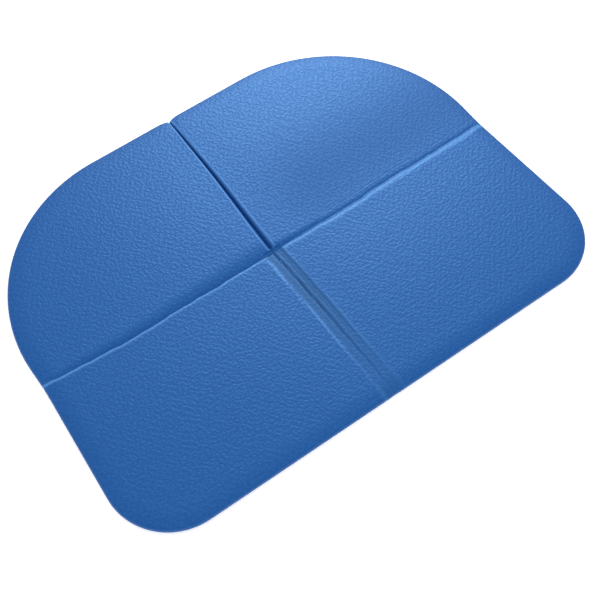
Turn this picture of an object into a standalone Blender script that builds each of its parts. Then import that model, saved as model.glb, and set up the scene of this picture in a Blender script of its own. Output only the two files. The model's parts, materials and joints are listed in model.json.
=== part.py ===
"""Foldable passive laptop cooling pad.

Four flat panels lie two by two. Each one is a pair of pressed fabric covers around a sealed
pouch: a tray, a lid, the heat-absorbing core between them, and a foam base below. Three creases
join the panels, and a slit parts the two back panels, so the pad folds to a quarter of its area.
A crease is a flat web of cover fabric that bends along both of its long edges.

+X is to the right, +Y to the back and +Z up. The origin is on the surface that the pad lies on,
where the creases meet.
"""

import math
from collections import namedtuple

import bmesh
import bpy
from mathutils import Matrix, Vector

MM = 0.001

# Overall size
HALF_WIDTH = 187.5 * MM  # at the cross crease
FLARE = 0.07  # how far the sides spread for each unit of depth, in front of the cross crease
DEPTH = 139.0 * MM  # from the cross crease to the front edge, and to the back edge
THICKNESS = 8.6 * MM
MIDDLE = THICKNESS / 2  # height of the pressed edge, the webs and the fold axes
GAP = 0.3 * MM  # room between neighbouring pieces

# Creases: two fold axes a little more than one thickness apart, so that a panel folds flat
AXIS_OFFSET = 4.5 * MM  # from the crease's centre line to each of its axes
WEB_HALF = 0.6 * MM  # half the web's thickness
CREASE_WALL = AXIS_OFFSET + WEB_HALF + GAP  # from the centre line to the panel beside it

WEB_CENTRE = 1.8 * MM  # from the centre to the end of each web of the cross crease

# Slit between the back panels
SLIT_HALF_CENTRE = 1.5 * MM
SLIT_HALF_BACK = 0.75 * MM

# Corners of the outline
FRONT_RADIUS = 46.0 * MM
BACK_RADIUS = 121.0 * MM
SLIT_RADIUS = 5.0 * MM
SMALL_RADIUS = 2.0 * MM
LEAST_RADIUS = 0.4 * MM
LARGE_STEPS = 14
SMALL_STEPS = 3
ARC_STEPS = 6  # in each round edge of a web

# A cover's section, from the pressed edge to the flat top: the inset from a free edge, the inset
# from a crease, and the height above the pad's middle, in millimetres
OUTER_SECTION = (
    (0.0, 0.0, 0.15),
    (0.0, 0.0, 0.75),
    (2.2, 0.0, 0.95),
    (3.6, 0.0, 2.4),
    (4.8, 0.3, 3.6),
    (6.2, 0.8, 4.15),
    (8.0, 1.6, 4.3),
)
INNER_SECTION = (
    (3.2, 0.8, 0.15),
    (3.2, 0.8, 0.75),
    (4.4, 0.8, 2.2),
    (5.6, 1.1, 3.1),
    (8.4, 2.2, 3.6),
)

# Layers inside a panel, from the bottom cover up
SKIN = 0.7 * MM
FOAM = 1.6 * MM
FILM = 0.4 * MM
TRAY_WALL = 0.5 * MM
FREE_MARGIN = 9.0 * MM  # from a free edge to the layers
CREASE_MARGIN = 2.8 * MM  # from the edge beside a crease to the layers

Side = namedtuple("Side", "normal distance free")
Panel = namedtuple("Panel", "name mirrored sides radii steps")
Look = namedtuple("Look", "colour roughness")

COVER_LOOK = Look((0.05, 0.16, 0.42), 0.75)
WEB_LOOK = Look((0.04, 0.12, 0.34), 0.7)
FILM_LOOK = Look((0.75, 0.8, 0.85), 0.25)
CORE_LOOK = Look((0.55, 0.7, 0.8), 0.4)
FOAM_LOOK = Look((0.1, 0.1, 0.12), 0.9)


def material(name, look):
    made = bpy.data.materials.new(name)
    made.use_nodes = True
    shader = made.node_tree.nodes["Principled BSDF"]
    shader.inputs["Base Color"].default_value = (*look.colour, 1.0)
    shader.inputs["Roughness"].default_value = look.roughness
    shader.inputs["Metallic"].default_value = 0.0
    made.diffuse_color = (*look.colour, 1.0)
    return made


def clear_scene():
    for obj in list(bpy.data.objects):
        bpy.data.objects.remove(obj, do_unlink=True)


def front_sides():
    """The sides of a front right panel, each by its outward normal in degrees, anticlockwise."""
    spread = math.atan(FLARE)
    return (
        Side(180.0, -CREASE_WALL, False),
        Side(270.0, DEPTH, True),
        Side(360.0 + math.degrees(spread), HALF_WIDTH * math.cos(spread), True),
        Side(450.0, -CREASE_WALL, False),
    )


def back_sides():
    """The sides of a back right panel. The slit narrows towards the back edge."""
    lean = math.atan((SLIT_HALF_CENTRE - SLIT_HALF_BACK) / DEPTH)
    return (
        Side(270.0, -CREASE_WALL, False),
        Side(360.0, HALF_WIDTH, True),
        Side(450.0, DEPTH, True),
        Side(540.0 + math.degrees(lean), -SLIT_HALF_CENTRE * math.cos(lean), True),
    )


def panels():
    """The four panels. A radius and its step count belong to the corner after each side."""
    front = (
        front_sides(),
        (SMALL_RADIUS, FRONT_RADIUS, SMALL_RADIUS, SMALL_RADIUS),
        (SMALL_STEPS, LARGE_STEPS, SMALL_STEPS, SMALL_STEPS),
    )
    back = (
        back_sides(),
        (SMALL_RADIUS, BACK_RADIUS, SLIT_RADIUS, SMALL_RADIUS),
        (SMALL_STEPS, LARGE_STEPS, SMALL_STEPS, SMALL_STEPS),
    )
    return {
        "front_left": Panel("front_left", True, *front),
        "front_right": Panel("front_right", False, *front),
        "back_left": Panel("back_left", True, *back),
        "back_right": Panel("back_right", False, *back),
    }


def meeting_point(first, second, first_reach, second_reach):
    """Where the lines with these normals, in radians, at these distances from the origin meet."""
    turn = math.sin(second - first)
    x = (first_reach * math.sin(second) - second_reach * math.sin(first)) / turn
    y = (second_reach * math.cos(first) - first_reach * math.cos(second)) / turn
    return Vector((x, y))


def outline(panel, free_inset, crease_inset):
    """The panel's rounded outline, moved in from its free edges and from its creases."""
    points = []
    for index, side in enumerate(panel.sides):
        following = panel.sides[(index + 1) % len(panel.sides)]
        first = math.radians(side.normal)
        second = math.radians(following.normal)
        if second < first:
            second += 2 * math.pi
        radius = max(panel.radii[index] - free_inset, LEAST_RADIUS)
        reach = [
            edge.distance - (free_inset if edge.free else crease_inset) - radius
            for edge in (side, following)
        ]
        centre = meeting_point(first, second, *reach)
        for step in range(panel.steps[index] + 1):
            angle = first + (second - first) * step / panel.steps[index]
            points.append(centre + radius * Vector((math.cos(angle), math.sin(angle))))
    if panel.mirrored:
        points = [Vector((-point.x, point.y)) for point in reversed(points)]
    return points


def ring(panel, free_inset, crease_inset, height):
    return [(point.x, point.y, height) for point in outline(panel, free_inset, crease_inset)]


def lofted(name, rings):
    """A closed solid through rings of points, with its first and last rings capped."""
    bm = bmesh.new()
    loops = [[bm.verts.new(point) for point in points] for points in rings]
    for lower, upper in zip(loops, loops[1:]):
        for index in range(len(lower)):
            after = (index + 1) % len(lower)
            bm.faces.new((lower[index], lower[after], upper[after], upper[index]))
    bm.faces.new(loops[0])
    bm.faces.new(loops[-1])
    bmesh.ops.recalc_face_normals(bm, faces=bm.faces)
    mesh = bpy.data.meshes.new(name)
    bm.to_mesh(mesh)
    bm.free()
    mesh.shade_smooth()
    mesh.set_sharp_from_angle(angle=math.radians(35))
    return bpy.data.objects.new(name, mesh)


def slab(name, points, thickness):
    """A flat outline extruded to this thickness, half of it on each side of the outline."""
    curve = bpy.data.curves.new(name, "CURVE")
    curve.dimensions = "2D"
    curve.fill_mode = "BOTH"
    curve.extrude = thickness / 2
    spline = curve.splines.new("POLY")
    spline.points.add(len(points) - 1)
    spline.use_cyclic_u = True
    for target, point in zip(spline.points, points):
        target.co = (point.x, point.y, 0.0, 1.0)
    return bpy.data.objects.new(name, curve)


def layer(name, panel, bottom, top, extra=0.0):
    """A flat layer inside a panel, with extra room all round it."""
    made = slab(name, outline(panel, FREE_MARGIN + extra, CREASE_MARGIN + extra), top - bottom)
    made.location.z = (bottom + top) / 2
    return made


def cover(name, panel, way):
    """A pressed cover, open towards the pad's middle: the top one where way is 1, else -1."""
    section = INNER_SECTION[::-1] + OUTER_SECTION
    rings = [
        ring(panel, free * MM, crease * MM, MIDDLE + way * height * MM)
        for free, crease, height in section
    ]
    return lofted(name, rings)


def tray(name, panel, bottom, rim):
    """The pouch's lower film: a floor with a wall round it."""
    floor = bottom + FILM
    inner = TRAY_WALL
    section = ((inner, floor), (inner, rim), (0.0, rim), (0.0, bottom))
    rings = [
        ring(panel, FREE_MARGIN + inset, CREASE_MARGIN + inset, height)
        for inset, height in section
    ]
    return lofted(name, rings)


def panel_pieces(panel, looks):
    """Every piece of one panel, each with its material."""
    foam_bottom = SKIN + GAP
    tray_bottom = foam_bottom + FOAM + GAP
    lid_top = THICKNESS - SKIN - GAP
    lid_bottom = lid_top - FILM
    core_bottom = tray_bottom + FILM + GAP
    core_top = lid_bottom - GAP
    name = panel.name
    return (
        (cover(f"{name}_top_cover", panel, 1), looks["cover"]),
        (cover(f"{name}_bottom_cover", panel, -1), looks["cover"]),
        (layer(f"{name}_foam_base", panel, foam_bottom, foam_bottom + FOAM), looks["foam"]),
        (tray(f"{name}_pouch_tray", panel, tray_bottom, core_top), looks["film"]),
        (layer(f"{name}_pouch_lid", panel, lid_bottom, lid_top), looks["film"]),
        (
            layer(f"{name}_heat_core", panel, core_bottom, core_top, TRAY_WALL + GAP),
            looks["core"],
        ),
    )


def rounded_strip():
    """The outline of a strip with round ends, whose end centres are the two fold axes."""
    points = []
    for side in (1, -1):
        for step in range(ARC_STEPS + 1):
            angle = math.radians(-90 + 180 * step / ARC_STEPS)
            end = Vector((AXIS_OFFSET, 0.0)) + WEB_HALF * Vector((math.cos(angle), math.sin(angle)))
            points.append(side * end)
    return points


def web(name, along, start, end):
    """A crease's web, which runs along X or Y from start to end at the pad's middle height."""
    made = slab(name, rounded_strip(), abs(end - start))
    centre = (start + end) / 2
    if along == "X":
        made.rotation_euler = (math.radians(90), 0.0, math.radians(90))
        made.location = (centre, 0.0, MIDDLE)
    else:
        made.rotation_euler = (math.radians(90), 0.0, 0.0)
        made.location = (0.0, centre, MIDDLE)
    return made


def fold_axis(name, location, parent=None):
    """An empty on a fold axis, which carries what turns about that axis."""
    empty = bpy.data.objects.new(name, None)
    empty.empty_display_size = 10 * MM
    empty.location = location
    if parent:
        empty.parent = parent
        empty.location = location - total_offset(parent)
    return empty


def total_offset(obj):
    """The world location of an empty whose parents are empties too, none of them turned."""
    return obj.location + (total_offset(obj.parent) if obj.parent else Vector())


def fold_axes():
    """The empties in the order that the creases join the panels, from the front left one."""
    near, far = -AXIS_OFFSET, AXIS_OFFSET
    half = HALF_WIDTH / 2
    left_near = fold_axis("left_fold_axis", Vector((-half, near, MIDDLE)))
    left_far = fold_axis("left_fold_far_axis", Vector((-half, far, MIDDLE)), left_near)
    front_near = fold_axis("front_fold_axis", Vector((near, -DEPTH / 2, MIDDLE)))
    front_far = fold_axis("front_fold_far_axis", Vector((far, -DEPTH / 2, MIDDLE)), front_near)
    right_near = fold_axis("right_fold_axis", Vector((half, near, MIDDLE)), front_far)
    right_far = fold_axis("right_fold_far_axis", Vector((half, far, MIDDLE)), right_near)
    return {
        "front_left": None,
        "left_crease": left_near,
        "back_left": left_far,
        "front_crease": front_near,
        "front_right": front_far,
        "right_crease": right_near,
        "back_right": right_far,
    }


def put(obj, collection, axis):
    """Links the piece and lets its fold axis carry it, where it has one."""
    collection.objects.link(obj)
    if axis:
        obj.parent = axis
        obj.matrix_parent_inverse = Matrix.Translation(-total_offset(axis))


def build():
    clear_scene()
    collection = bpy.data.collections.new("laptop_cooling_pad")
    bpy.context.scene.collection.children.link(collection)
    looks = {
        "cover": material("cover_fabric", COVER_LOOK),
        "web": material("web_fabric", WEB_LOOK),
        "film": material("pouch_film", FILM_LOOK),
        "core": material("heat_core", CORE_LOOK),
        "foam": material("base_foam", FOAM_LOOK),
    }
    axes = fold_axes()
    for axis in filter(None, axes.values()):
        collection.objects.link(axis)
    for name, panel in panels().items():
        for piece, look in panel_pieces(panel, looks):
            piece.data.materials.append(look)
            put(piece, collection, axes[name])
    webs = {
        "left_crease": web("left_crease_web", "X", -HALF_WIDTH, -WEB_CENTRE),
        "right_crease": web("right_crease_web", "X", WEB_CENTRE, HALF_WIDTH),
        "front_crease": web("front_crease_web", "Y", -DEPTH, -CREASE_WALL - GAP),
    }
    for name, piece in webs.items():
        piece.data.materials.append(looks["web"])
        put(piece, collection, axes[name])


build()
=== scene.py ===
"""The looks of a foldable laptop cooling pad: padded fabric panels, pressed edges, creases and a slit.

The pad's skin is one height field over its plan. Each panel and each half of a crease is a piece of
that field, closed below and at its joints, so neighbouring pieces share their edges exactly. The
top sheet of every panel is then swelled by a cloth simulation.
"""

import json
import math

import bpy
import numpy as np
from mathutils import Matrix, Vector
from mathutils.geometry import delaunay_2d_cdt


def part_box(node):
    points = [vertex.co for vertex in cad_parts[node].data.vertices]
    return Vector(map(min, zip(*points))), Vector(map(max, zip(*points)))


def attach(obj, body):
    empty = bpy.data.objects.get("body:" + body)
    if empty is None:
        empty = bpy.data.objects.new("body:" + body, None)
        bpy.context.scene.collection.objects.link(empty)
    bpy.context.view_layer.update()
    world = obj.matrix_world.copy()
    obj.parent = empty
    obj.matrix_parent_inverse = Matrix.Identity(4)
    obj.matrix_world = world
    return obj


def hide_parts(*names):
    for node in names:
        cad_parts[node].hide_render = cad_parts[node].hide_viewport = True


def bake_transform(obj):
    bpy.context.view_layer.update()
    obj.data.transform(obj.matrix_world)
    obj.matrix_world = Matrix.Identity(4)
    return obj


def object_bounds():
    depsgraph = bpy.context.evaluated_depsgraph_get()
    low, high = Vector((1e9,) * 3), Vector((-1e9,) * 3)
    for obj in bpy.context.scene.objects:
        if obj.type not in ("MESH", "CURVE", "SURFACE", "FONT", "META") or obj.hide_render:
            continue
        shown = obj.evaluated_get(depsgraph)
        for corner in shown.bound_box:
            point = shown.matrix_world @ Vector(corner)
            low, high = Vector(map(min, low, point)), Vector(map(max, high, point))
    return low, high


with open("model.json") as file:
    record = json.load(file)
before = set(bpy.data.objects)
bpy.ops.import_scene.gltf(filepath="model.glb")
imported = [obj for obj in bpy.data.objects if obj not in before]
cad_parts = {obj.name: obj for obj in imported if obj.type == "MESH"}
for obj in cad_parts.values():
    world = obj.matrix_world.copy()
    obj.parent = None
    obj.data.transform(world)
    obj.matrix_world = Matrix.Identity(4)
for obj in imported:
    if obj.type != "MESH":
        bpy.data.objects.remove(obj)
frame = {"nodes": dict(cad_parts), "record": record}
cad_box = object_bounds()

MM = 0.001

# From the frame, in millimetres
HALF_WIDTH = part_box("back_right_top_cover")[1].x / MM
DEPTH = cad_box[1].y / MM
MIDDLE = cad_box[1].z / MM / 2
SEAM = -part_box("front_right_top_cover")[1].y / MM  # from a crease's centre line to its panels

# The plan, in millimetres
FLARE = 0.07  # the sides spread this much for each unit in front of the cross crease
FRONT_RADIUS = 46.0
BACK_RADIUS = 121.0
SLIT_CORNER = (9.0, 1.8)  # how wide and how deep the corners curve in at the slit's outer end
SLIT_TIP = 0.06  # from the slit's centre line to each fabric edge at mid height
LEAN = -2.3  # how far the slit and the front crease lean to the left where they meet
LEAN_END = 90.0
LEAN_FADE = (6.0, 45.0)  # where the lean of a back panel's points fades out, away from the slit

# The skin's height above the pad's middle, in millimetres
RIM = 2.5  # half the edge's thickness
PUFF = 1.55  # what a panel's upper skin adds to that
LOW_PUFF = MIDDLE - RIM  # what its underside adds, down to the floor
RIM_ROUND = 1.2
ROLL_START = 0.4  # inside the outline
ROLL_END = 13.0
ROLL_POWER = 2.0

# The creases: lengths are in millimetres, and depths are shares of DIP
DIP = 3.3
NOTCH = 0.3  # how deep a crease still is where it meets the outline
NOTCH_END = 11.0  # inside the outline, where it has its own depth
GROOVE_HALF = 5.8  # half a crease's width, seen from below

# Along the cross crease, left to right: where its valley is, how deep it is, how far the back panels
# slope down to it, and how far from it the front panels' edges stand
CROSS_PLACES = (-190.0, -160.0, -130.0, -40.0, -8.0, 4.0, 46.0, 110.0, 160.0, 190.0)
VALLEYS = (2.5, 0.1, -2.4, -2.4, -3.0, -1.4, -2.6, -1.0, -1.2, 0.6)
CROSS_DEPTHS = (0.35, 0.45, 0.6, 0.85, 0.85, 0.5, 0.24, 0.18, 0.17, 0.17)
BACK_SLOPES = (4.0, 6.0, 9.0, 15.0, 16.0, 6.0, 3.6, 3.4, 3.4, 3.4)
CRESTS = (0.7, 0.8, 0.9, 1.0, 1.2, 1.8, 2.6, 2.8, 2.8, 2.6)
BACK_POWER = 2.4
VALLEY_WAVER = (0.55, 3.0)  # how far the valley wavers, and on what scale

# The small wrinkles on both sides of the cross crease
WRINKLE = 0.02
WRINKLE_PITCH = 2.3
WRINKLE_WAVER = 6.0
WRINKLE_EASE = 1.5  # past the crest, to their full height
WRINKLE_FADE = (4.0, 9.0)  # from the valley, where they fade out
WRINKLE_PLACES = (10.0, 60.0)  # where they grow, from left to right

# Across the front crease, left to right: how deep it is. Where that is below 0, the fabric stands up
CHANNEL_PLACES = (-9.2, -8.2, -7.2, -3.0, -1.9, -1.1, -0.2, 1.2, 2.2, 3.2, 4.6, 6.0, 7.2, 8.4)
CHANNEL_DROPS = (0.0, -0.02, 0.16, 0.16, 0.2, 0.42, 0.2, 0.15, 0.2, 0.16, 0.14, 0.05, -0.01, 0.0)
CHANNEL_WAVER = (0.5, 5.0)  # how far it wavers, and on what scale
CHANNEL_LOSS = 0.7  # how much of it is gone at the front edge
LOSS_START = 40.0  # in front of the cross crease, where it starts to fade
MOUTH = 0.2  # how much deeper it gets where it runs into the cross crease
MOUTH_PLACES = (2.0, 14.0)  # in front of the cross crease, where the mouth is whole and where it ends

# The slit: lengths are in millimetres
SLIT_END = (0.4, 1.8)  # where the slit fades out beside the cross crease
SLIT_LIP = (2.3, 0.6)  # from a fabric edge to the top of its wall, at the slit's inner and outer ends
LIP_SHARE = 0.88  # the height of the slit's walls, before they round over
WALL_POWER = 0.7
LIP_ROUND = 0.9  # how wide the walls' tops round over
WIDER_ROUND = 3.0  # how much wider the right one gets at the slit's outer end
WIDER_START = 90.0
BEAD = 0.04  # how much the fabric's turned edge stands up beside the slit, as a share
BEAD_LINE = (0.7, 0.5)  # the bead's place past the lip, and its width

# The fabric's finish, with its painted highlights and shade: lengths are in millimetres
PRESSED_EDGE = (0.3, 1.6)  # inside the outline, where the grain is still flat and where it is whole
PRESSED_VALLEY = (0.2, 1.0)  # the same, beside the cross crease's valley
VALLEY_PRESS = 0.6  # how flat the grain is pressed in the valley, as a share
CHANNEL_PRESS = 0.75  # how flat it is pressed in the front crease
CHANNEL_SIDE = (6.0, 8.0)  # from the front crease's centre line, where its darker colour fades out
CHANNEL_START = 5.0  # in front of the cross crease, where that colour is whole
LIP_LINE = (0.5, 0.8)  # a painted highlight line's place past the slit's lip, and its width
CREST_LINE = (0.3, 1.1)  # the same, past the cross crease's crest
LEFT_LINE = (-8.2, 0.5)  # the same, from the front crease's centre line
RIGHT_LINE = (7.2, 0.7)
CREST_END = 3.0  # behind the cross crease's centre line, where no painted crest highlight reaches
CREST_START = (6.0, 9.0)  # from the front crease's centre line, where the painted crest highlight fades in
CHANNEL_LINES_END = 3.0  # in front of the cross crease, where the front crease's painted highlight lines end
FAINT = 0.8  # the other painted highlight lines beside the crest's, as a share
FAINTER = 0.6  # the front crease's right line beside its left one
PAINTED_SHADE_LINE = (34.0, 38.0)  # how far behind the cross crease the stretch of painted shade is, and its width
PAINTED_SHADE_PLACES = (-5.0, 60.0)  # where it fades in, from left to right

# The mesh, in millimetres
EDGE_STEP = 2.4  # along the outline and the seams
FILL_STEP = 3.0
CORNER_STEPS = 8  # along the slit's turned-in corners
# How far inside the free edge each ring of points is, inside a seam each row, and from a crease's
# centre line each row of its strip
RINGS = (0.0, 0.06, 0.25, 0.6, 1.1, 1.7, 2.4, 3.1, 3.8, 4.5, 5.3, 6.2, 7.4, 8.8)
SEAM_ROWS = (0.7, 1.4, 2.2, 3.2, 4.6, 6.4)
ACROSS = (0.0, 0.35, 0.7, 1.1, 1.6, 2.2, 2.8, 3.4, 4.0, 4.5, 4.95, SEAM)
RING_SHARE = 0.97  # the least share of its inset that a ring's point keeps from the whole edge
RING_TO_SEAM = 0.5  # the room kept between the rings, the rows and the fill
ROW_TO_RING = 1.2
FILL_TO_RING = 1.6
FILL_TO_ROW = 1.4
ON_ROW = 0.01
ON_SEAM = 1e-3
CLOSED = 1e-4  # where the upper and lower skins count as one
UNDERSIDE_SHIFT = -20.0  # from the upper fabric's grain to the lower fabric's
SLOPE_STEP = 0.02  # to either side, where the skin's slope is measured

# The padding
CLOTH_FRAMES = 20
CLOTH_PRESSURE = 4.0
CLOTH_GROWTH = 0.004  # how much larger the sheet is than the flat panel
HELD = 0.02  # below this share of the swell, a point of the sheet is held still
MOST_LIFT = 0.4  # millimetres, at the crown of a panel
LIFT_EASE = 26.0  # from where a sheet is held to where it swells freely
SLIT_MARGIN = 1.0  # millimetres beside the slit that stay still as well
EVEN_TURNS = 60


def smooth(value, low, high):
    """0 below low, 1 above high, and a smooth step between them."""
    t = np.clip((value - low) / (high - low), 0.0, 1.0)
    return t * t * (3.0 - 2.0 * t)


def ridge(value, width):
    """1 at zero, falling smoothly to nothing over about twice the width on either side."""
    return np.exp(-((value / width) ** 2))


WAVES = ((0.5, 3.1, 0.7), (0.3, 1.3, 2.1), (0.2, 0.6, 4.0))  # each one's height, length and phase


def waver(along, scale):
    """A slow irregular wave, for lines that fabric never holds quite straight."""
    return sum(height * np.sin(along / (length * scale) + phase) for height, length, phase in WAVES)


# ---------------------------------------------------------------- the plan


def side_x(y):
    """How far out the right side is at this depth, before the corners."""
    return HALF_WIDTH - FLARE * np.minimum(y, 0.0)


def run(start, end):
    """Points along a straight run, with its end left out."""
    start, end = np.array(start), np.array(end)
    count = max(1, round(np.linalg.norm(end - start) / EDGE_STEP))
    return [tuple(start + (end - start) * k / count) for k in range(count)]


def arc(centre, radius, start, end):
    """Points along an arc between two angles in degrees, with its end left out."""
    count = round(radius * abs(math.radians(end - start)) / EDGE_STEP)
    angles = np.radians(start + (end - start) * np.arange(count) / count)
    return [(centre[0] + radius * math.cos(a), centre[1] + radius * math.sin(a)) for a in angles]


def front_edge():
    """The right half's free edge from the front crease to the cross crease."""
    tilt = math.atan(FLARE)
    centre_y = FRONT_RADIUS - DEPTH
    centre = (side_x(centre_y) - FRONT_RADIUS / math.cos(tilt), centre_y)
    turn = arc(centre, FRONT_RADIUS, -90.0, math.degrees(tilt))
    turn_end = (
        centre[0] + FRONT_RADIUS * math.cos(tilt),
        centre[1] + FRONT_RADIUS * math.sin(tilt),
    )
    seam_end = (side_x(-SEAM), -SEAM)
    return run((SEAM, -DEPTH), (centre[0], -DEPTH)) + turn + run(turn_end, seam_end) + [seam_end]


def back_edge():
    """The right half's free edge from the cross crease to the slit's outer end."""
    centre = (HALF_WIDTH - BACK_RADIUS, DEPTH - BACK_RADIUS)
    wide, deep = SLIT_CORNER
    side = run((HALF_WIDTH, SEAM), (HALF_WIDTH, centre[1]))
    back = run((centre[0], DEPTH), (SLIT_TIP + wide, DEPTH))
    turns = [k / CORNER_STEPS for k in range(CORNER_STEPS)]
    turn_in = [(SLIT_TIP + wide * (1.0 - t), DEPTH - deep * t * t) for t in turns]
    return side + arc(centre, BACK_RADIUS, 0.0, 90.0) + back + turn_in


def slit_edge():
    """The right side of the slit, from its outer end to the cross crease's seam."""
    return run((SLIT_TIP, DEPTH - SLIT_CORNER[1]), (SLIT_TIP, SEAM)) + [(SLIT_TIP, SEAM)]


OUTER_EDGE = np.array([(0.0, -DEPTH)] + front_edge() + back_edge() + slit_edge()[:1])


def distance(points, line):
    """Each point's distance from an open line of points."""
    line = np.asarray(line)
    best = np.full(len(points), 1e9)
    for start, end in zip(line[:-1], line[1:]):
        step = end - start
        t = np.clip((points - start) @ step / max(step @ step, 1e-12), 0.0, 1.0)
        gap = points - start - t[:, None] * step
        best = np.minimum(best, (gap**2).sum(axis=1))
    return np.sqrt(best)


# ---------------------------------------------------------------- the skin


def rim_round(inset):
    """The rounded tip of the pressed edge: 0 at the outline, 1 further in."""
    t = np.clip(inset / RIM_ROUND, 0.0, 1.0)
    return np.sqrt(1.0 - (1.0 - t) ** 2)


def roll(inset):
    """How far a panel has puffed up at this distance inside its outline, from 0 to 1."""
    t = np.clip((inset - ROLL_START) / (ROLL_END - ROLL_START), 0.0, 1.0)
    return 1.0 - (1.0 - t) ** ROLL_POWER


def lean(y):
    """How far the slit and the front crease are from the pad's centre line at this depth."""
    return LEAN * (1.0 - smooth(np.abs(y), 0.0, LEAN_END))


def from_valley(x, y):
    """How far behind the cross crease's valley each point is."""
    amount, scale = VALLEY_WAVER
    return y - np.interp(x, CROSS_PLACES, VALLEYS) + amount * waver(x, scale)


def wrinkles(x, place, crest):
    """The small wrinkles on both sides of the cross crease, as a share of DIP."""
    away = np.abs(place)
    beside = smooth(away, crest, crest + WRINKLE_EASE) - smooth(away, *WRINKLE_FADE)
    wave = np.sin(math.tau * place / WRINKLE_PITCH + waver(x, WRINKLE_WAVER))
    return WRINKLE * wave * beside * smooth(x, *WRINKLE_PLACES)


def cross_drop(x, y):
    """The cross crease from above, as a share of DIP.

    The back panels slope gently down to it, and the front panels' edges stand up steeply from it.
    """
    place = from_valley(x, y)
    deepest = np.interp(x, CROSS_PLACES, CROSS_DEPTHS)
    slope = np.interp(x, CROSS_PLACES, BACK_SLOPES)
    crest = np.interp(x, CROSS_PLACES, CRESTS)
    back = np.clip(1.0 - place / slope, 0.0, 1.0) ** BACK_POWER
    front = 1.0 - smooth(-place, 0.0, crest)
    return deepest * np.where(place > 0.0, back, front) + wrinkles(x, place, crest)


def across_channel(x, y):
    """How far to the right of the front crease's wavering centre line each point is."""
    amount, scale = CHANNEL_WAVER
    return x - lean(y) + amount * waver(y, scale)


def channel_fade(y):
    """How strong the front crease is at this depth, from 1 to less at the front edge."""
    return 1.0 - CHANNEL_LOSS * smooth(-y, LOSS_START, DEPTH)


def channel_drop(x, y):
    """The front crease from above: a shallow channel with a thin valley, fading to the front."""
    mouth = 1.0 + MOUTH * (1.0 - smooth(-y, *MOUTH_PLACES))
    drop = np.interp(across_channel(x, y), CHANNEL_PLACES, CHANNEL_DROPS)
    return channel_fade(y) * mouth * drop * (y < 0.0)


def plain_drop(away):
    """A crease from below: a plain rounded groove."""
    return 1.0 - smooth(away, 0.0, GROOVE_HALF)


def together(first, second):
    """Two drops where they cross, no deeper than a full one."""
    return 1.0 - (1.0 - first) * (1.0 - second)


def past_slit(x, y):
    """How far each point of a back panel is from the slit's fabric edge."""
    return np.maximum(np.abs(x - lean(y)) - SLIT_TIP, 0.0)


def slit_lip(y):
    """How far from a fabric edge the slit's wall reaches its top."""
    return SLIT_LIP[0] + (SLIT_LIP[1] - SLIT_LIP[0]) * np.clip(y / DEPTH, 0.0, 1.0)


def slit_wall(x, y):
    """The steep side of the slit: 0 at the fabric's edge and 1 on the flat of the panel."""
    past_tip = past_slit(x, y)
    past_lip = past_tip - slit_lip(y)
    rounding = LIP_ROUND + WIDER_ROUND * smooth(y, WIDER_START, DEPTH) * (x > 0.0)
    climb = LIP_SHARE * np.clip(past_tip / slit_lip(y), 0.0, 1.0) ** WALL_POWER
    t = np.clip(past_lip / rounding, 0.0, 1.0)
    bead = BEAD * ridge(past_lip - BEAD_LINE[0], BEAD_LINE[1])
    wall = climb + (1.0 - LIP_SHARE) * (1.0 - (1.0 - t) ** 2) + bead
    return 1.0 - smooth(y, *SLIT_END) * (1.0 - wall)


def skin(x, y):
    """(height above the middle, depth below the middle, inset from the outline) at each point."""
    edge = distance(np.column_stack((np.abs(x), y)), OUTER_EDGE)
    rim = RIM * rim_round(edge)
    depth = DIP * rim_round(edge) * (NOTCH + (1.0 - NOTCH) * smooth(edge, 0.0, NOTCH_END))
    top_drop = together(cross_drop(x, y), channel_drop(x, y))
    low_drop = together(plain_drop(np.abs(y)), plain_drop(np.abs(x)) * (y < 0.0))
    slit = past_slit(x, y)
    at_slit = smooth(y, *SLIT_END)
    low_rim = 1.0 - at_slit * (1.0 - rim_round(slit))
    low_roll = 1.0 - at_slit * (1.0 - smooth(slit, ROLL_START, ROLL_END))
    top = (rim + PUFF * roll(edge) - depth * top_drop) * slit_wall(x, y)
    low = (rim + LOW_PUFF * roll(edge) * low_roll - depth * low_drop) * low_rim
    return top, low, edge


def slopes(x, y):
    """Unit normals of the upper and lower skins at each point."""
    right, left = skin(x + SLOPE_STEP, y), skin(x - SLOPE_STEP, y)
    back, front = skin(x, y + SLOPE_STEP), skin(x, y - SLOPE_STEP)
    made = []
    for index, facing in ((0, 1.0), (1, -1.0)):
        across = (right[index] - left[index]) / (2.0 * SLOPE_STEP)
        along = (back[index] - front[index]) / (2.0 * SLOPE_STEP)
        normal = np.column_stack((-across, -along, np.full(len(x), facing)))
        made.append(normal / np.linalg.norm(normal, axis=1)[:, None])
    return made


# ---------------------------------------------------------------- the fabric's finish, with painted highlights and shade


def in_channel(x, y):
    """Where the front crease's darker, greyer colour is, from 0 to 1."""
    beside = 1.0 - smooth(np.abs(x - lean(y)), *CHANNEL_SIDE)
    return beside * channel_fade(y) * smooth(-y, 0.0, CHANNEL_START)


def pressed(x, y, edge):
    """How flat the fabric's grain is pressed, from 0 to 1."""
    at_edge = 1.0 - smooth(edge, *PRESSED_EDGE)
    at_valley = VALLEY_PRESS * (1.0 - smooth(np.abs(from_valley(x, y)), *PRESSED_VALLEY))
    return np.maximum(at_edge, np.maximum(CHANNEL_PRESS * in_channel(x, y), at_valley))


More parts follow.
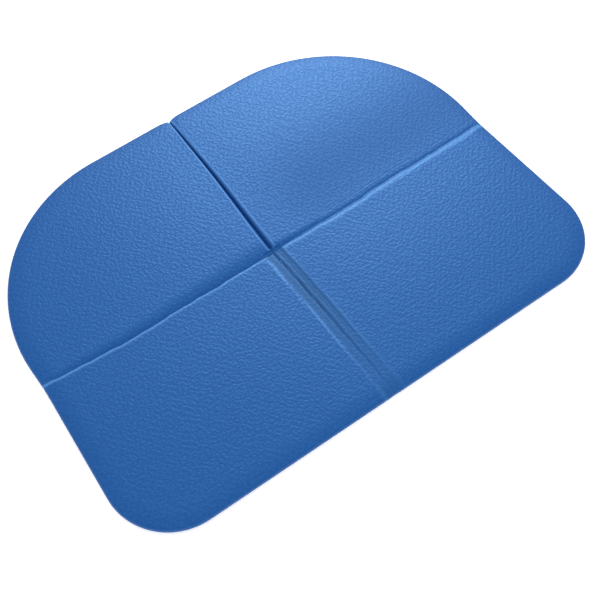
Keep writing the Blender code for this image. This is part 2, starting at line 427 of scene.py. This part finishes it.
def painted_highlight(x, y):
    """Painted highlights: pale lines along the lips of the slit and the panels' edges at the creases,
    where those edges catch the light.
    """
    lip = ridge(past_slit(x, y) - slit_lip(y) - LIP_LINE[0], LIP_LINE[1]) * smooth(y, *SLIT_END)
    past_crest = -from_valley(x, y) - np.interp(x, CROSS_PLACES, CRESTS)
    crest = ridge(past_crest - CREST_LINE[0], CREST_LINE[1]) * (y < CREST_END)
    crest = crest * smooth(np.abs(x - lean(y)), *CREST_START)
    place = across_channel(x, y)
    left_side = ridge(place - LEFT_LINE[0], LEFT_LINE[1])
    right_side = FAINTER * ridge(place - RIGHT_LINE[0], RIGHT_LINE[1])
    channel = (left_side + right_side) * channel_fade(y) * (y < -CHANNEL_LINES_END)
    return np.minimum(crest + FAINT * (lip + channel), 1.0)


def painted_shade(x, y):
    """Painted shade: the right back panel's fabric is painted a little darker in a band behind the
    cross crease, and made a little rougher there.
    """
    return ridge(y - PAINTED_SHADE_LINE[0], PAINTED_SHADE_LINE[1]) * smooth(x, *PAINTED_SHADE_PLACES) * (y > 0.0)


def finish(x, y, edge):
    """What the fabric's material reads at each point, by name, painted highlights and shade among
    them.
    """
    return {
        "pressed": pressed(x, y, edge),
        "channel": in_channel(x, y),
        "painted_highlight": painted_highlight(x, y),
        "painted_shade": painted_shade(x, y),
    }


# ---------------------------------------------------------------- pieces from the skin


def side_walls(faces, low_index):
    """Faces that join the upper sheet's open sides to the lower sheet."""
    sides = {(a, b) for face in faces for a, b in zip(face, (*face[1:], face[0]))}
    walls = []
    for a, b in sorted(sides):
        if (b, a) in sides:
            continue
        corners = (b, a, low_index[a], low_index[b])
        kept = [c for k, c in enumerate(corners) if c != corners[k - 1]]
        if len(kept) > 2:
            walls.append(tuple(kept))
    return walls


def closed_piece(name, plan, faces, seams, lift=0.0):
    """A closed mesh over these faces of the plan. seams marks the points that a neighbour shares."""
    x, y = plan.T
    top, low, edge = skin(x, y)
    count = len(plan)
    tips = top + low < CLOSED
    low_index = np.where(tips, np.arange(count), np.cumsum(~tips) - 1 + count)
    upper = np.column_stack((x, y, MIDDLE + top + lift))
    lower = np.column_stack((x, y, MIDDLE - low))[~tips]
    lower_faces = [tuple(int(low_index[i]) for i in reversed(face)) for face in faces]
    walls = side_walls(faces, low_index.tolist())
    mesh = bpy.data.meshes.new(name)
    mesh.from_pydata(np.vstack((upper, lower)) * MM, [], [*faces, *lower_faces, *walls])
    set_normals(mesh, plan, seams, tips, len(faces))
    set_plan(mesh, plan, tips)
    for share, values in finish(x, y, edge).items():
        layer = mesh.attributes.new(share, "FLOAT", "POINT")
        layer.data.foreach_set("value", np.hstack((values, values[~tips])).astype(np.float32))
    return linked(name, mesh)


def linked(name, data):
    """A new object of this data, in the scene."""
    obj = bpy.data.objects.new(name, data)
    bpy.context.scene.collection.objects.link(obj)
    return obj


def set_plan(mesh, plan, tips):
    """Keeps each point's place in the plan, with another height below, where the grain differs."""
    upper = np.column_stack((plan, np.zeros(len(plan))))
    lower = np.column_stack((plan, np.full(len(plan), UNDERSIDE_SHIFT)))[~tips]
    layer = mesh.attributes.new("plan", "FLOAT_VECTOR", "POINT")
    places = np.vstack((upper, lower)) * MM
    layer.data.foreach_set("vector", places.astype(np.float32).ravel())


def set_normals(mesh, plan, seams, tips, skin_faces):
    """Smooth skins with sharp side walls, and the skin's own normals where a neighbour goes on.

    A normal of zero leaves the choice to Blender.
    """
    count = len(plan)
    up, down = slopes(*plan.T)
    wanted = np.zeros((len(mesh.vertices), 3))
    wanted[:count][seams] = up[seams]
    wanted[count:][seams[~tips]] = down[seams & ~tips]
    wanted[:count][tips] = 0.0
    loops = np.zeros((len(mesh.loops), 3))
    for polygon in mesh.polygons:
        polygon.use_smooth = True
        corners = list(polygon.loop_indices)
        if polygon.index < 2 * skin_faces:
            loops[corners] = wanted[list(polygon.vertices)]
    mesh.update()
    sharp = mesh.attributes.new("sharp_edge", "BOOLEAN", "EDGE")
    flags = np.zeros(len(mesh.edges), bool)
    for polygon in mesh.polygons[2 * skin_faces:]:
        for loop in polygon.loop_indices:
            flags[mesh.loops[loop].edge_index] = True
    sharp.data.foreach_set("value", flags)
    mesh.normals_split_custom_set([tuple(n) for n in loops])


def seam_places(inner, outer, rolled_inner):
    """Shares of a seam's length from its inner end to the free edge, closer together at the edge."""
    length = outer - inner
    first = RINGS[-1] if rolled_inner else 0.0
    count = round((length - RINGS[-1] - first) / EDGE_STEP)
    middle = [first + (length - RINGS[-1] - first) * k / count for k in range(count + 1)]
    start = list(RINGS[:-1]) if rolled_inner else []
    end = [length - inset for inset in reversed(RINGS[:-1])]
    return np.array(start + middle + end) / length


FRONT_SHARES = seam_places(SEAM, HALF_WIDTH, False)
BACK_SHARES = seam_places(SLIT_TIP, HALF_WIDTH, True)
CHANNEL_SHARES = seam_places(SEAM, DEPTH, False)


def level_points(y, shares, inner):
    """Points across the right half at this depth, from an inner end to the free side."""
    x = inner + shares * (side_x(y) - inner)
    return np.column_stack((x, np.full(len(x), y)))


def channel_y():
    """The depths of the points down the front crease's seams, from the cross crease's seam."""
    return -(SEAM + CHANNEL_SHARES * (DEPTH - SEAM))


def panel_outline(back):
    """(the right panel's outline anticlockwise, its free part)."""
    if back:
        free = back_edge() + slit_edge()
        seam = level_points(SEAM, BACK_SHARES, SLIT_TIP)[1:-1]
        return np.vstack((seam, free)), np.array(free)
    free = front_edge()
    top = level_points(-SEAM, FRONT_SHARES, SEAM)[1:-1][::-1]
    side = np.array([(SEAM, y) for y in channel_y()[:-1]])
    return np.vstack((side, free, top)), np.array(free)


def inward(line):
    """Unit normals to the left of an open line, one at each of its points."""
    along = np.gradient(line, axis=0)
    along /= np.linalg.norm(along, axis=1)[:, None]
    return np.column_stack((-along[:, 1], along[:, 0]))


def seam_gap(points, back):
    """How far points are inside the panel's seams."""
    if back:
        return points[:, 1] - SEAM
    return np.minimum(-SEAM - points[:, 1], points[:, 0] - SEAM)


def grid(x_step, y_places):
    """Rows of points over the right half, every other one shifted by half a step."""
    rows = []
    for index, y in enumerate(y_places):
        x = np.arange(SLIT_TIP + 0.5 * x_step * (index % 2), OUTER_EDGE[:, 0].max(), x_step)
        rows.append(np.column_stack((x, np.full(len(x), y))))
    return np.vstack(rows)


def within(points, outline):
    """True where points are inside a closed outline."""
    found = np.zeros(len(points), bool)
    for (x1, y1), (x2, y2) in zip(outline, np.roll(outline, -1, axis=0)):
        if y1 == y2:
            continue
        spans = (y1 > points[:, 1]) != (y2 > points[:, 1])
        crossing = x1 + (points[:, 1] - y1) * (x2 - x1) / (y2 - y1)
        found ^= spans & (points[:, 0] < crossing)
    return found


def ring_points(outline, free, back):
    """Rings of points that follow the free edge."""
    kept = []
    for inset in RINGS[1:]:
        ring = free + inward(free) * inset
        clear = (distance(ring, free) > RING_SHARE * inset) & (seam_gap(ring, back) > RING_TO_SEAM)
        kept.append(ring[clear & within(ring, outline)])
    return np.vstack(kept)


def row_points(outline, free, back):
    """Rows of points along the seams."""
    sign = 1.0 if back else -1.0
    rows = grid(EDGE_STEP, [sign * (SEAM + row) for row in SEAM_ROWS])
    if not back:
        columns = [(SEAM + row, y) for row in SEAM_ROWS for y in np.arange(-DEPTH, -SEAM, EDGE_STEP)]
        rows = np.vstack((rows, columns))
    off_row = np.abs(seam_gap(rows, back)[:, None] - np.array(SEAM_ROWS)).min(axis=1)
    clear = (off_row < ON_ROW) & (distance(rows, free) > RINGS[-1] + ROW_TO_RING)
    return rows[clear & within(rows, outline)]


def fill_points(outline, free, back):
    """Points over the rest of a panel, at the corners of even triangles."""
    low_y, high_y = (SEAM, DEPTH) if back else (-DEPTH, -SEAM)
    row_step = FILL_STEP * math.sqrt(0.75)
    fill = grid(FILL_STEP, np.arange(low_y, high_y, row_step))
    clear = distance(fill, free) > RINGS[-1] + FILL_TO_RING
    clear &= seam_gap(fill, back) > SEAM_ROWS[-1] + FILL_TO_ROW
    return fill[clear & within(fill, outline)]


def panel_plan(back):
    """(points, triangles, seam marks) of a right panel."""
    outline, free = panel_outline(back)
    inside = [made(outline, free, back) for made in (ring_points, row_points, fill_points)]
    points = np.vstack((outline, *inside))
    loop = [list(range(len(outline)))]
    inside_only = 1
    found = delaunay_2d_cdt([Vector(p) for p in points], [], loop, inside_only, 1e-6)
    plan = np.array([tuple(v) for v in found[0]])
    faces = [tuple(face) for face in found[2]]
    return plan, faces, seam_gap(plan, back) < ON_SEAM


def strip_plan(rows):
    """(points, quads) of a strip given as rows of equally many points."""
    width = len(rows[0])
    faces = []
    for j in range(len(rows) - 1):
        for i in range(width - 1):
            corner = j * width + i
            faces.append((corner, corner + 1, corner + 1 + width, corner + width))
    return np.vstack(rows), faces


def cross_front_plan():
    """The front half of the cross crease, on the right."""
    rows = [level_points(-away, FRONT_SHARES, SEAM) for away in reversed(ACROSS)]
    return strip_plan(rows)


def cross_back_plan():
    """The back half of the cross crease, on the right, with the slit's end."""
    rows = [level_points(away, BACK_SHARES, SLIT_TIP) for away in ACROSS]
    return strip_plan([np.vstack(([(0.0, row[0, 1])], row)) for row in rows])


def channel_plan():
    """The right half of the front crease, as far back as the cross crease's centre line."""
    depths = np.hstack((channel_y()[::-1], [-away for away in reversed(ACROSS[:-1])]))
    rows = [np.array([(away, y) for away in ACROSS]) for y in depths]
    return strip_plan(rows)


def on_side(plan, faces, right):
    """The plan as it is, or mirrored to the left half, with the back panels' slit at its lean."""
    if not right:
        plan = plan * np.array((-1.0, 1.0))
        faces = [tuple(reversed(face)) for face in faces]
    x, y = plan.T
    behind = y.max() > 0.0
    leaned = lean(y) * (1.0 - smooth(np.abs(x), *LEAN_FADE)) * behind
    return np.column_stack((x + leaned, y)), faces


# ---------------------------------------------------------------- padding


def lift_mask(x, y, edge):
    """Where the padding may swell a top sheet: 0 at its edges and seams, 1 away from them."""
    inset = np.minimum(edge - ROLL_START, np.abs(y) - SEAM)
    inset = np.minimum(inset, np.where(y > 0.0, past_slit(x, y) - SLIT_MARGIN, np.abs(x) - SEAM))
    return smooth(inset, 0.0, LIFT_EASE)


def evened(values, faces):
    """Values at points, averaged with their neighbours' until no small wrinkle is left."""
    faces = np.array(faces)
    starts = np.hstack((faces, np.roll(faces, 1, axis=1))).ravel()
    ends = np.hstack((np.roll(faces, 1, axis=1), faces)).ravel()
    neighbours = np.maximum(np.bincount(starts, minlength=len(values)), 1)
    for _ in range(EVEN_TURNS):
        values = np.bincount(starts, values[ends], len(values)) / neighbours
    return values


def add_cloth(sheet, mask):
    """Makes a sheet swell under pressure where the mask isn't near 0."""
    held = sheet.vertex_groups.new(name="held")
    for index, share in enumerate(mask):
        held.add([index], 1.0 if share < HELD else 0.0, "REPLACE")
    cloth = sheet.modifiers.new("swell", "CLOTH")
    settings = cloth.settings
    settings.quality = 5
    settings.mass = 0.25
    settings.tension_stiffness = 40.0
    settings.compression_stiffness = 20.0
    settings.bending_stiffness = 4.0
    settings.shrink_min = -CLOTH_GROWTH
    settings.vertex_group_mass = "held"
    settings.use_pressure = True
    settings.uniform_pressure_force = CLOTH_PRESSURE
    settings.effector_weights.gravity = 0.0
    cloth.collision_settings.use_collision = False


def swelled(name, plan, faces):
    """How far pressure under a panel's top sheet lifts each of its points, in millimetres."""
    x, y = plan.T
    top, _, edge = skin(x, y)
    mask = lift_mask(x, y, edge)
    rest = np.column_stack((x, y, MIDDLE + top)) * MM
    mesh = bpy.data.meshes.new(name)
    mesh.from_pydata(rest, [], faces)
    sheet = linked(name, mesh)
    add_cloth(sheet, mask)
    for number in range(1, CLOTH_FRAMES + 1):
        bpy.context.scene.frame_set(number)
    evaluated = sheet.evaluated_get(bpy.context.evaluated_depsgraph_get())
    moved = np.zeros(3 * len(plan))
    evaluated.data.vertices.foreach_get("co", moved)
    rise = np.maximum(moved.reshape(-1, 3)[:, 2] - rest[:, 2], 0.0)
    bpy.data.objects.remove(sheet)
    bpy.context.scene.frame_set(1)
    rise = evened(rise, faces)
    return MOST_LIFT * rise / rise.max() * mask


# ---------------------------------------------------------------- materials


class Nodes:
    """A material's node tree, with short calls to add and join its nodes."""

    def __init__(self, name):
        self.material = bpy.data.materials.new(name)
        self.material.use_nodes = True
        self.tree = self.material.node_tree
        self.tree.nodes.clear()
        self.shader = self.add("ShaderNodeBsdfPrincipled")
        output = self.add("ShaderNodeOutputMaterial")
        self.tree.links.new(self.shader.outputs[0], output.inputs["Surface"])

    def add(self, kind, **settings):
        node = self.tree.nodes.new(kind)
        for key, value in settings.items():
            setattr(node, key, value)
        return node

    def put(self, socket, value):
        """Joins an output to a socket, or sets the socket where the value is a plain one."""
        if isinstance(value, bpy.types.NodeSocket):
            self.tree.links.new(value, socket)
        else:
            socket.default_value = value

    def share(self, name, most=1.0):
        """One of the finish's shares, scaled so that a whole one gives this much."""
        node = self.add("ShaderNodeAttribute", attribute_name=name)
        return self.maths("MULTIPLY", node.outputs["Fac"], most)

    def maths(self, operation, *values):
        """A Math node's result; the values are outputs or numbers."""
        node = self.add("ShaderNodeMath", operation=operation)
        for socket, value in zip(node.inputs, values):
            self.put(socket, value)
        return node.outputs[0]

    def noise(self, place, scale, detail, roughness=0.5, distortion=0.0):
        """Smooth noise; the scale is in cycles for each metre."""
        node = self.add("ShaderNodeTexNoise")
        self.put(node.inputs["Vector"], place)
        self.put(node.inputs["Scale"], scale)
        self.put(node.inputs["Detail"], detail)
        self.put(node.inputs["Roughness"], roughness)
        self.put(node.inputs["Distortion"], distortion)
        return node.outputs["Fac"]

    def wave(self, place, pitch):
        """A cosine of this pitch along one direction."""
        return self.maths("COSINE", self.maths("MULTIPLY", place, math.tau / pitch))

    def dimples(self, place):
        """Rows of soft dimples, every other row shifted by half a pitch: from -1 to 1."""
        node = self.add("ShaderNodeSeparateXYZ")
        self.put(node.inputs[0], place)
        across = self.wave(node.outputs[0], DIMPLE_PITCH[0])
        along = self.wave(node.outputs[1], DIMPLE_PITCH[1])
        return self.maths("MULTIPLY", across, along)

    def ramp(self, value, low, high, start=0.0, end=1.0):
        """A smooth step from start, where the value is low, to end, where it is high."""
        node = self.add("ShaderNodeMapRange", interpolation_type="SMOOTHSTEP")
        sources = (value, low, high, start, end)
        for socket, source in zip(node.inputs, sources):
            self.put(socket, source)
        return node.outputs[0]

    def mix(self, share, first, second):
        """The first colour, with this share of the second."""
        node = self.add("ShaderNodeMix", data_type="RGBA")
        self.put(node.inputs["Factor"], share)
        colours = [s for s in node.inputs if s.type == "RGBA"]
        self.put(colours[0], first)
        self.put(colours[1], second)
        return [s for s in node.outputs if s.type == "RGBA"][0]

    def bump(self, height, depth_mm):
        """Relief this deep where the height goes from 0 to 1."""
        node = self.add("ShaderNodeBump")
        self.put(node.inputs["Height"], height)
        self.put(node.inputs["Distance"], depth_mm * MM)
        self.put(self.shader.inputs["Normal"], node.outputs[0])

    def shade(self, **values):
        """Sets or joins the shader's own sockets, named with _ for each space."""
        for name, value in values.items():
            self.put(self.shader.inputs[name.replace("_", " ")], value)


FABRIC = (0.010, 0.075, 0.275, 1.0)
FABRIC_HOLLOW_AND_PAINTED_SHADE = (0.007, 0.055, 0.215, 1.0)
FABRIC_CREASE_DARKER = (0.014, 0.060, 0.185, 1.0)
FABRIC_PAINTED_HIGHLIGHT = (0.090, 0.250, 0.560, 1.0)
FABRIC_GLOSS = (0.18, 0.52, 1.0, 1.0)
FABRIC_SHEEN = (0.4, 0.6, 1.0, 1.0)
GRAIN_SCALE = 540.0
GRAIN_RELIEF = 0.12  # millimetres
PRESSED_GRAIN = 0.2  # what is left of the grain where it is pressed flat
DIMPLE_PITCH = (5.0 * MM, 6.0 * MM)
DIMPLE_SHARE = 0.1
FUZZ_SCALE = 2000.0
FUZZ_SHARE = 0.1
MOTTLE_SCALE = 26.0


def fabric():
    """Blue fabric with a worm-like pressed grain, flatter and plainer at its edges and creases, with
    painted highlights along its edges and painted shade on the right back panel.
    """
    made = Nodes("cover_fabric")
    place = made.add("ShaderNodeAttribute", attribute_name="plan").outputs["Vector"]
    raised = made.maths("SUBTRACT", 1.0, made.share("pressed"))
    dimples = made.maths("MULTIPLY", made.dimples(place), DIMPLE_SHARE)
    worms = made.noise(place, GRAIN_SCALE, 0.0, distortion=0.4)
    worms = made.ramp(made.maths("ADD", worms, dimples), 0.26, 0.74)
    relief = made.maths("MULTIPLY_ADD", raised, 1.0 - PRESSED_GRAIN, PRESSED_GRAIN)
    grain = made.maths("MULTIPLY", worms, relief)
    fuzz = made.noise(place, FUZZ_SCALE, 1.0, 0.6)
    mottle = made.noise(place, MOTTLE_SCALE, 3.0, 0.55)
    made.bump(made.maths("MULTIPLY_ADD", fuzz, FUZZ_SHARE, grain), GRAIN_RELIEF)
    hollow = made.maths("MULTIPLY", raised, made.ramp(worms, 0.9, 0.1, 0.0, 0.6))
    colour = made.mix(hollow, FABRIC, FABRIC_HOLLOW_AND_PAINTED_SHADE)
    # The front crease is coloured darker and greyer.
    colour = made.mix(made.share("channel", 0.8), colour, FABRIC_CREASE_DARKER)
    # Painted shade on the right back panel, with a random mottle, darkens the colour here.
    darker = made.maths("ADD", made.share("painted_shade", 0.55), made.ramp(mottle, 0.35, 0.65, 0.0, 0.06))
    colour = made.mix(darker, colour, FABRIC_HOLLOW_AND_PAINTED_SHADE)
    # Painted highlights: pale lines along the slit's lips and the creases' edges.
    colour = made.mix(made.share("painted_highlight", 0.75), colour, FABRIC_PAINTED_HIGHLIGHT)
    rough = made.maths("ADD", made.ramp(fuzz, 0.3, 0.7, 0.48, 0.56), made.share("painted_shade", 0.1))
    rough = made.maths("MULTIPLY_ADD", grain, -0.06, rough)
    made.shade(Base_Color=colour, Roughness=rough)
    made.shade(Specular_IOR_Level=0.5, Specular_Tint=FABRIC_GLOSS)
    made.shade(Sheen_Weight=0.02, Sheen_Roughness=0.4, Sheen_Tint=FABRIC_SHEEN)
    return made.material


def film():
    """Glossy pouch film, pale and a little cloudy."""
    made = Nodes("pouch_film")
    place = made.add("ShaderNodeTexCoord").outputs["Object"]
    cloud = made.noise(place, 60.0, 3.0)
    crinkle = made.noise(place, 240.0, 3.0, 0.6, 0.8)
    colour = made.mix(cloud, (0.72, 0.78, 0.84, 1.0), (0.6, 0.68, 0.76, 1.0))
    made.shade(Base_Color=colour, Roughness=made.ramp(cloud, 0.3, 0.7, 0.18, 0.32))
    made.bump(crinkle, 0.3)
    return made.material


def gel():
    """The waxy, heat-absorbing filling."""
    made = Nodes("heat_core")
    place = made.add("ShaderNodeTexCoord").outputs["Object"]
    crystals = made.noise(place, 420.0, 4.0, 0.65)
    colour = made.mix(crystals, (0.55, 0.62, 0.66, 1.0), (0.75, 0.8, 0.82, 1.0))
    made.shade(Base_Color=colour, Roughness=made.ramp(crystals, 0.3, 0.7, 0.35, 0.6))
    made.bump(crystals, 0.25)
    return made.material


def foam():
    """Closed-cell foam, with its pores."""
    made = Nodes("base_foam")
    place = made.add("ShaderNodeTexCoord").outputs["Object"]
    pores = made.noise(place, 900.0, 2.0)
    pits = made.ramp(pores, 0.38, 0.55)
    colour = made.mix(pits, (0.05, 0.055, 0.06, 1.0), (0.14, 0.15, 0.16, 1.0))
    made.shade(Base_Color=colour, Roughness=made.ramp(pores, 0.3, 0.7, 0.8, 0.95))
    made.bump(pits, 0.3)
    return made.material


# ---------------------------------------------------------------- the pad

COVER = fabric()
INNER_LOOKS = {"pouch_film": film(), "heat_core": gel(), "base_foam": foam()}


def dress(obj):
    """Gives a skin the cover's material."""
    obj.data.materials.append(COVER)
    return obj


def panel_piece(name, plan, faces, seams):
    """A panel's padded skin, which replaces its pressed covers and rides on its body."""
    lift = swelled(f"{name}_sheet", plan, faces)
    piece = dress(closed_piece(f"{name}_pad", plan, faces, seams, lift))
    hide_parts(f"{name}_top_cover", f"{name}_bottom_cover")
    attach(piece, name)


def crease_piece(name, plan, faces, web):
    """Half of a crease's skin, between its panel and the crease's web, which it hides."""
    every_point = np.ones(len(plan), bool)
    piece = dress(closed_piece(name, plan, faces, every_point))
    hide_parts(web)
    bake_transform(piece)


def build_half(right):
    """Two panels and their creases on one side of the pad."""
    side = "right" if right else "left"
    outward = (1.0 if right else -1.0, 0.0, 0.0)
    for back in (False, True):
        plan, faces, seams = panel_plan(back)
        plan, faces = on_side(plan, faces, right)
        panel_piece(f"{'back' if back else 'front'}_{side}", plan, faces, seams)
    crease = f"{side}_crease"
    parts = (
        ("front", cross_front_plan(), crease, (0.0, -1.0, 0.0)),
        ("back", cross_back_plan(), crease, (0.0, 1.0, 0.0)),
        ("channel", channel_plan(), "front_crease", outward),
    )
    for kind, (plan, faces), web, direction in parts:
        plan, faces = on_side(plan, faces, right)
        name = f"front_crease_skin_{side}" if kind == "channel" else f"{crease}_skin_{kind}"
        crease_piece(name, plan, faces, f"{web}_web")


def dress_inside():
    """Gives the layers inside the panels, which stay as the frame has them, their own finish."""
    for subpart in frame["record"]["subparts"]:
        look = INNER_LOOKS.get(subpart["material_slot"])
        if look:
            node = frame["nodes"][subpart["node"]]
            node.data.materials.clear()
            node.data.materials.append(look)


# ---------------------------------------------------------------- the stage

AZIMUTH = -35.8
ELEVATION = 60.7
TARGET = Vector((-0.0094, -0.0435, 0.0043))
DISTANCE = 0.8878
LENS = 77.04
SENSOR = 36.0
FLOOR_HALF = 6.0
LAMP_DISTANCE = 0.8
SKY_STRENGTH = 1.08
WHITE = (1.0, 1.0, 1.0, 1.0)


def direction_from(azimuth, elevation):
    """The unit vector towards a place at this azimuth and elevation, as the camera's are given."""
    a, e = math.radians(azimuth), math.radians(elevation)
    return Vector((math.sin(a) * math.cos(e), -math.cos(a) * math.cos(e), math.sin(e)))


def face_back(obj, way):
    """Turns a camera or a lamp that stands this way from its target to look back at it."""
    obj.rotation_mode = "QUATERNION"
    obj.rotation_quaternion = (-way).to_track_quat("-Z", "Y")


def add_camera():
    """The camera, above the pad's front left corner and looking down on its middle."""
    data = bpy.data.cameras.new("camera")
    data.lens = LENS
    data.sensor_width = SENSOR
    data.clip_start = 0.01
    data.clip_end = 100.0
    camera = linked("camera", data)
    way = direction_from(AZIMUTH, ELEVATION)
    camera.location = TARGET + way * DISTANCE
    face_back(camera, way)
    bpy.context.scene.camera = camera


def add_lamp(name, azimuth, elevation, size, watts):
    """A square softbox that looks at the pad's middle."""
    data = bpy.data.lights.new(name, "AREA")
    data.shape = "SQUARE"
    data.size = size
    data.energy = watts
    lamp = linked(name, data)
    way = direction_from(azimuth, elevation)
    lamp.location = way * LAMP_DISTANCE
    face_back(lamp, way)
    return lamp


def add_lights():
    """An even white surrounding, a key lamp that casts no shadow, and one that adds only gloss."""
    world = bpy.data.worlds.new("studio")
    world.use_nodes = True
    surrounding = world.node_tree.nodes["Background"]
    surrounding.inputs["Color"].default_value = WHITE
    surrounding.inputs["Strength"].default_value = SKY_STRENGTH
    bpy.context.scene.world = world
    key = add_lamp("key", azimuth=135.0, elevation=40.0, size=0.4, watts=2.6)
    key.data.use_shadow = False
    sheen = add_lamp("sheen", azimuth=145.0, elevation=38.0, size=0.3, watts=6.8)
    sheen.visible_diffuse = False


def add_floor():
    """A plain white floor."""
    corners = [(x * FLOOR_HALF, y * FLOOR_HALF, 0.0) for x, y in ((-1, -1), (1, -1), (1, 1), (-1, 1))]
    mesh = bpy.data.meshes.new("floor")
    mesh.from_pydata(corners, [], [(0, 1, 2, 3)])
    made = Nodes("floor_white")
    place = made.add("ShaderNodeTexCoord").outputs["Object"]
    tint = made.mix(made.noise(place, 3.0, 2.0), (0.93, 0.93, 0.93, 1.0), (0.95, 0.95, 0.95, 1.0))
    made.shade(Base_Color=tint, Roughness=0.9, Specular_IOR_Level=0.1)
    made.shade(Emission_Color=WHITE, Emission_Strength=0.25)
    mesh.materials.append(made.material)
    linked("floor", mesh)


build_half(right=False)
build_half(right=True)
dress_inside()
add_camera()
add_floor()
add_lights()
bpy.context.scene.view_settings.view_transform = "Standard"
